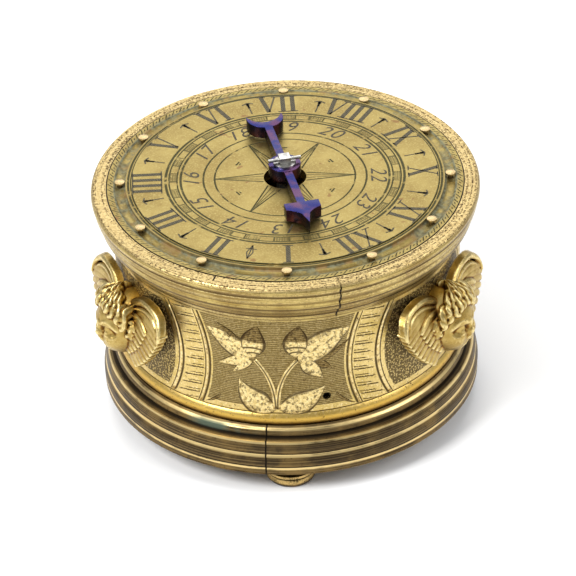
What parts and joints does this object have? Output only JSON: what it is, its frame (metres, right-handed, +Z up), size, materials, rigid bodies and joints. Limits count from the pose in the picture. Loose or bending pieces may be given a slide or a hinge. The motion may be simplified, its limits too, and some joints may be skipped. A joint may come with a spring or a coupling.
{
  "type": "drum clock",
  "caption": "Round gilt brass table clock with a horizontal dial, touch pins, one steel hand, winged cherub heads and a hinged base on turned feet.",
  "frame": {"origin": "on the drum's axis, in the plane that the feet rest on", "axes": "+Z up along the drum's axis, -Y towards the front, where the dial's first hour stands"},
  "size_m": [0.1145, 0.1202, 0.0804],
  "materials": {
    "gilt_brass": "fire-gilt brass, chased and engraved, worn on the edges",
    "dial_brass": "matt olive-gold brass with dark engraving",
    "base_brass": "dark patinated brass with bright ridges",
    "cast_gilt": "cast and gilt brass with brown recesses",
    "plate_brass": "plain scraped brass",
    "blued_steel": "fire-blued steel, violet to blue",
    "bright_steel": "bright filed steel",
    "iron": "dark filed iron",
    "spring_steel": "hardened spring steel"
  },
  "bodies": {
    "base": {"base_moulding": "base_brass", "base_plate": "base_brass", "foot_front": "base_brass", "foot_back_right": "base_brass", "foot_back_left": "base_brass", "foot_nuts": "iron", "base_hinge_leaf": "base_brass", "hinge_pin": "iron", "catch_plate": "iron"},
    "case": {"drum_band": "gilt_brass", "top_moulding": "gilt_brass", "dial_plate": "dial_brass", "touch_pins": "gilt_brass", "cherub_front_right": "cast_gilt", "cherub_back": "cast_gilt", "cherub_front_left": "cast_gilt", "cherub_screws": "iron", "case_hinge_leaf": "gilt_brass", "hinge_rivets": "iron", "latch_bracket": "iron", "latch_pin": "iron", "top_plate": "plate_brass", "bottom_plate": "plate_brass", "pillars": "iron", "pillar_pins": "iron", "dial_posts": "plate_brass", "dial_post_pins": "iron", "mainspring": "spring_steel", "spring_post": "iron", "inner_potence": "plate_brass", "outer_potence": "plate_brass", "balance_cock": "plate_brass", "cock_screw": "iron"},
    "latch": {"latch_strip": "spring_steel"},
    "great_wheel": {"great_wheel": "iron", "click_screw": "iron"},
    "click": {"click": "bright_steel"},
    "winding_arbor": {"winding_arbor": "bright_steel", "ratchet_wheel": "iron"},
    "second_wheel": {"second_arbor": "iron", "second_wheel": "iron"},
    "contrate_wheel": {"contrate_arbor": "iron", "contrate_wheel": "iron"},
    "crown_wheel": {"crown_arbor": "iron", "crown_wheel": "plate_brass"},
    "balance": {"verge": "bright_steel", "balance": "iron"},
    "hour_wheel": {"hour_wheel": "iron"},
    "hand": {"hour_arbor": "bright_steel", "hour_hand": "blued_steel", "hand_washer": "bright_steel", "cross_pin": "bright_steel"}
  },
  "joints": [
    {"name": "case_hinge", "type": "hinge", "parent": "base", "child": "case", "pos_m": [0, 0.0534, 0.0212], "axis": [-1, 0, 0], "range_deg": [0, 100]},
    {"name": "latch_spring", "type": "hinge", "parent": "case", "child": "latch", "pos_m": [0.0086, -0.04346, 0.0424], "axis": [-0.981, -0.1942, 0], "range_deg": [0, 3]},
    {"name": "great_wheel_turn", "type": "hinge", "parent": "case", "child": "great_wheel", "pos_m": [0, 0.0256, 0.057], "axis": [0, 0, 1], "continuous": true},
    {"name": "second_wheel_turn", "type": "hinge", "parent": "case", "child": "second_wheel", "pos_m": [-0.019, 0.01666, 0.045], "axis": [0, 0, 1], "continuous": true},
    {"name": "contrate_wheel_turn", "type": "hinge", "parent": "case", "child": "contrate_wheel", "pos_m": [-0.0175, 0.00053, 0.045], "axis": [0, 0, 1], "continuous": true},
    {"name": "crown_wheel_turn", "type": "hinge", "parent": "case", "child": "crown_wheel", "pos_m": [0, 0.00053, 0.04594], "axis": [1, 0, 0], "continuous": true},
    {"name": "hour_wheel_turn", "type": "hinge", "parent": "case", "child": "hour_wheel", "pos_m": [0, 0, 0.066], "axis": [0, 0, 1], "continuous": true},
    {"name": "hand_set", "type": "hinge", "parent": "hour_wheel", "child": "hand", "pos_m": [0, 0, 0.075], "axis": [0, 0, 1], "continuous": true},
    {"name": "winding_turn", "type": "hinge", "parent": "great_wheel", "child": "winding_arbor", "pos_m": [0, 0.0256, 0.04], "axis": [0, 0, 1], "continuous": true},
    {"name": "click_lift", "type": "hinge", "parent": "great_wheel", "child": "click", "pos_m": [0.00038, 0.03659, 0.055], "axis": [0, 0, 1], "range_deg": [-8, 6]},
    {"name": "balance_swing", "type": "hinge", "parent": "case", "child": "balance", "pos_m": [0.00405, 0.00053, 0.022], "axis": [0, 0, 1], "range_deg": [-35, 35]}
  ],
  "couplings": [
    {"joint": "second_wheel_turn", "follows": "great_wheel_turn", "ratio": -9},
    {"joint": "contrate_wheel_turn", "follows": "great_wheel_turn", "ratio": 72},
    {"joint": "crown_wheel_turn", "follows": "great_wheel_turn", "ratio": 540},
    {"joint": "hour_wheel_turn", "follows": "great_wheel_turn", "ratio": -0.33333}
  ]
}
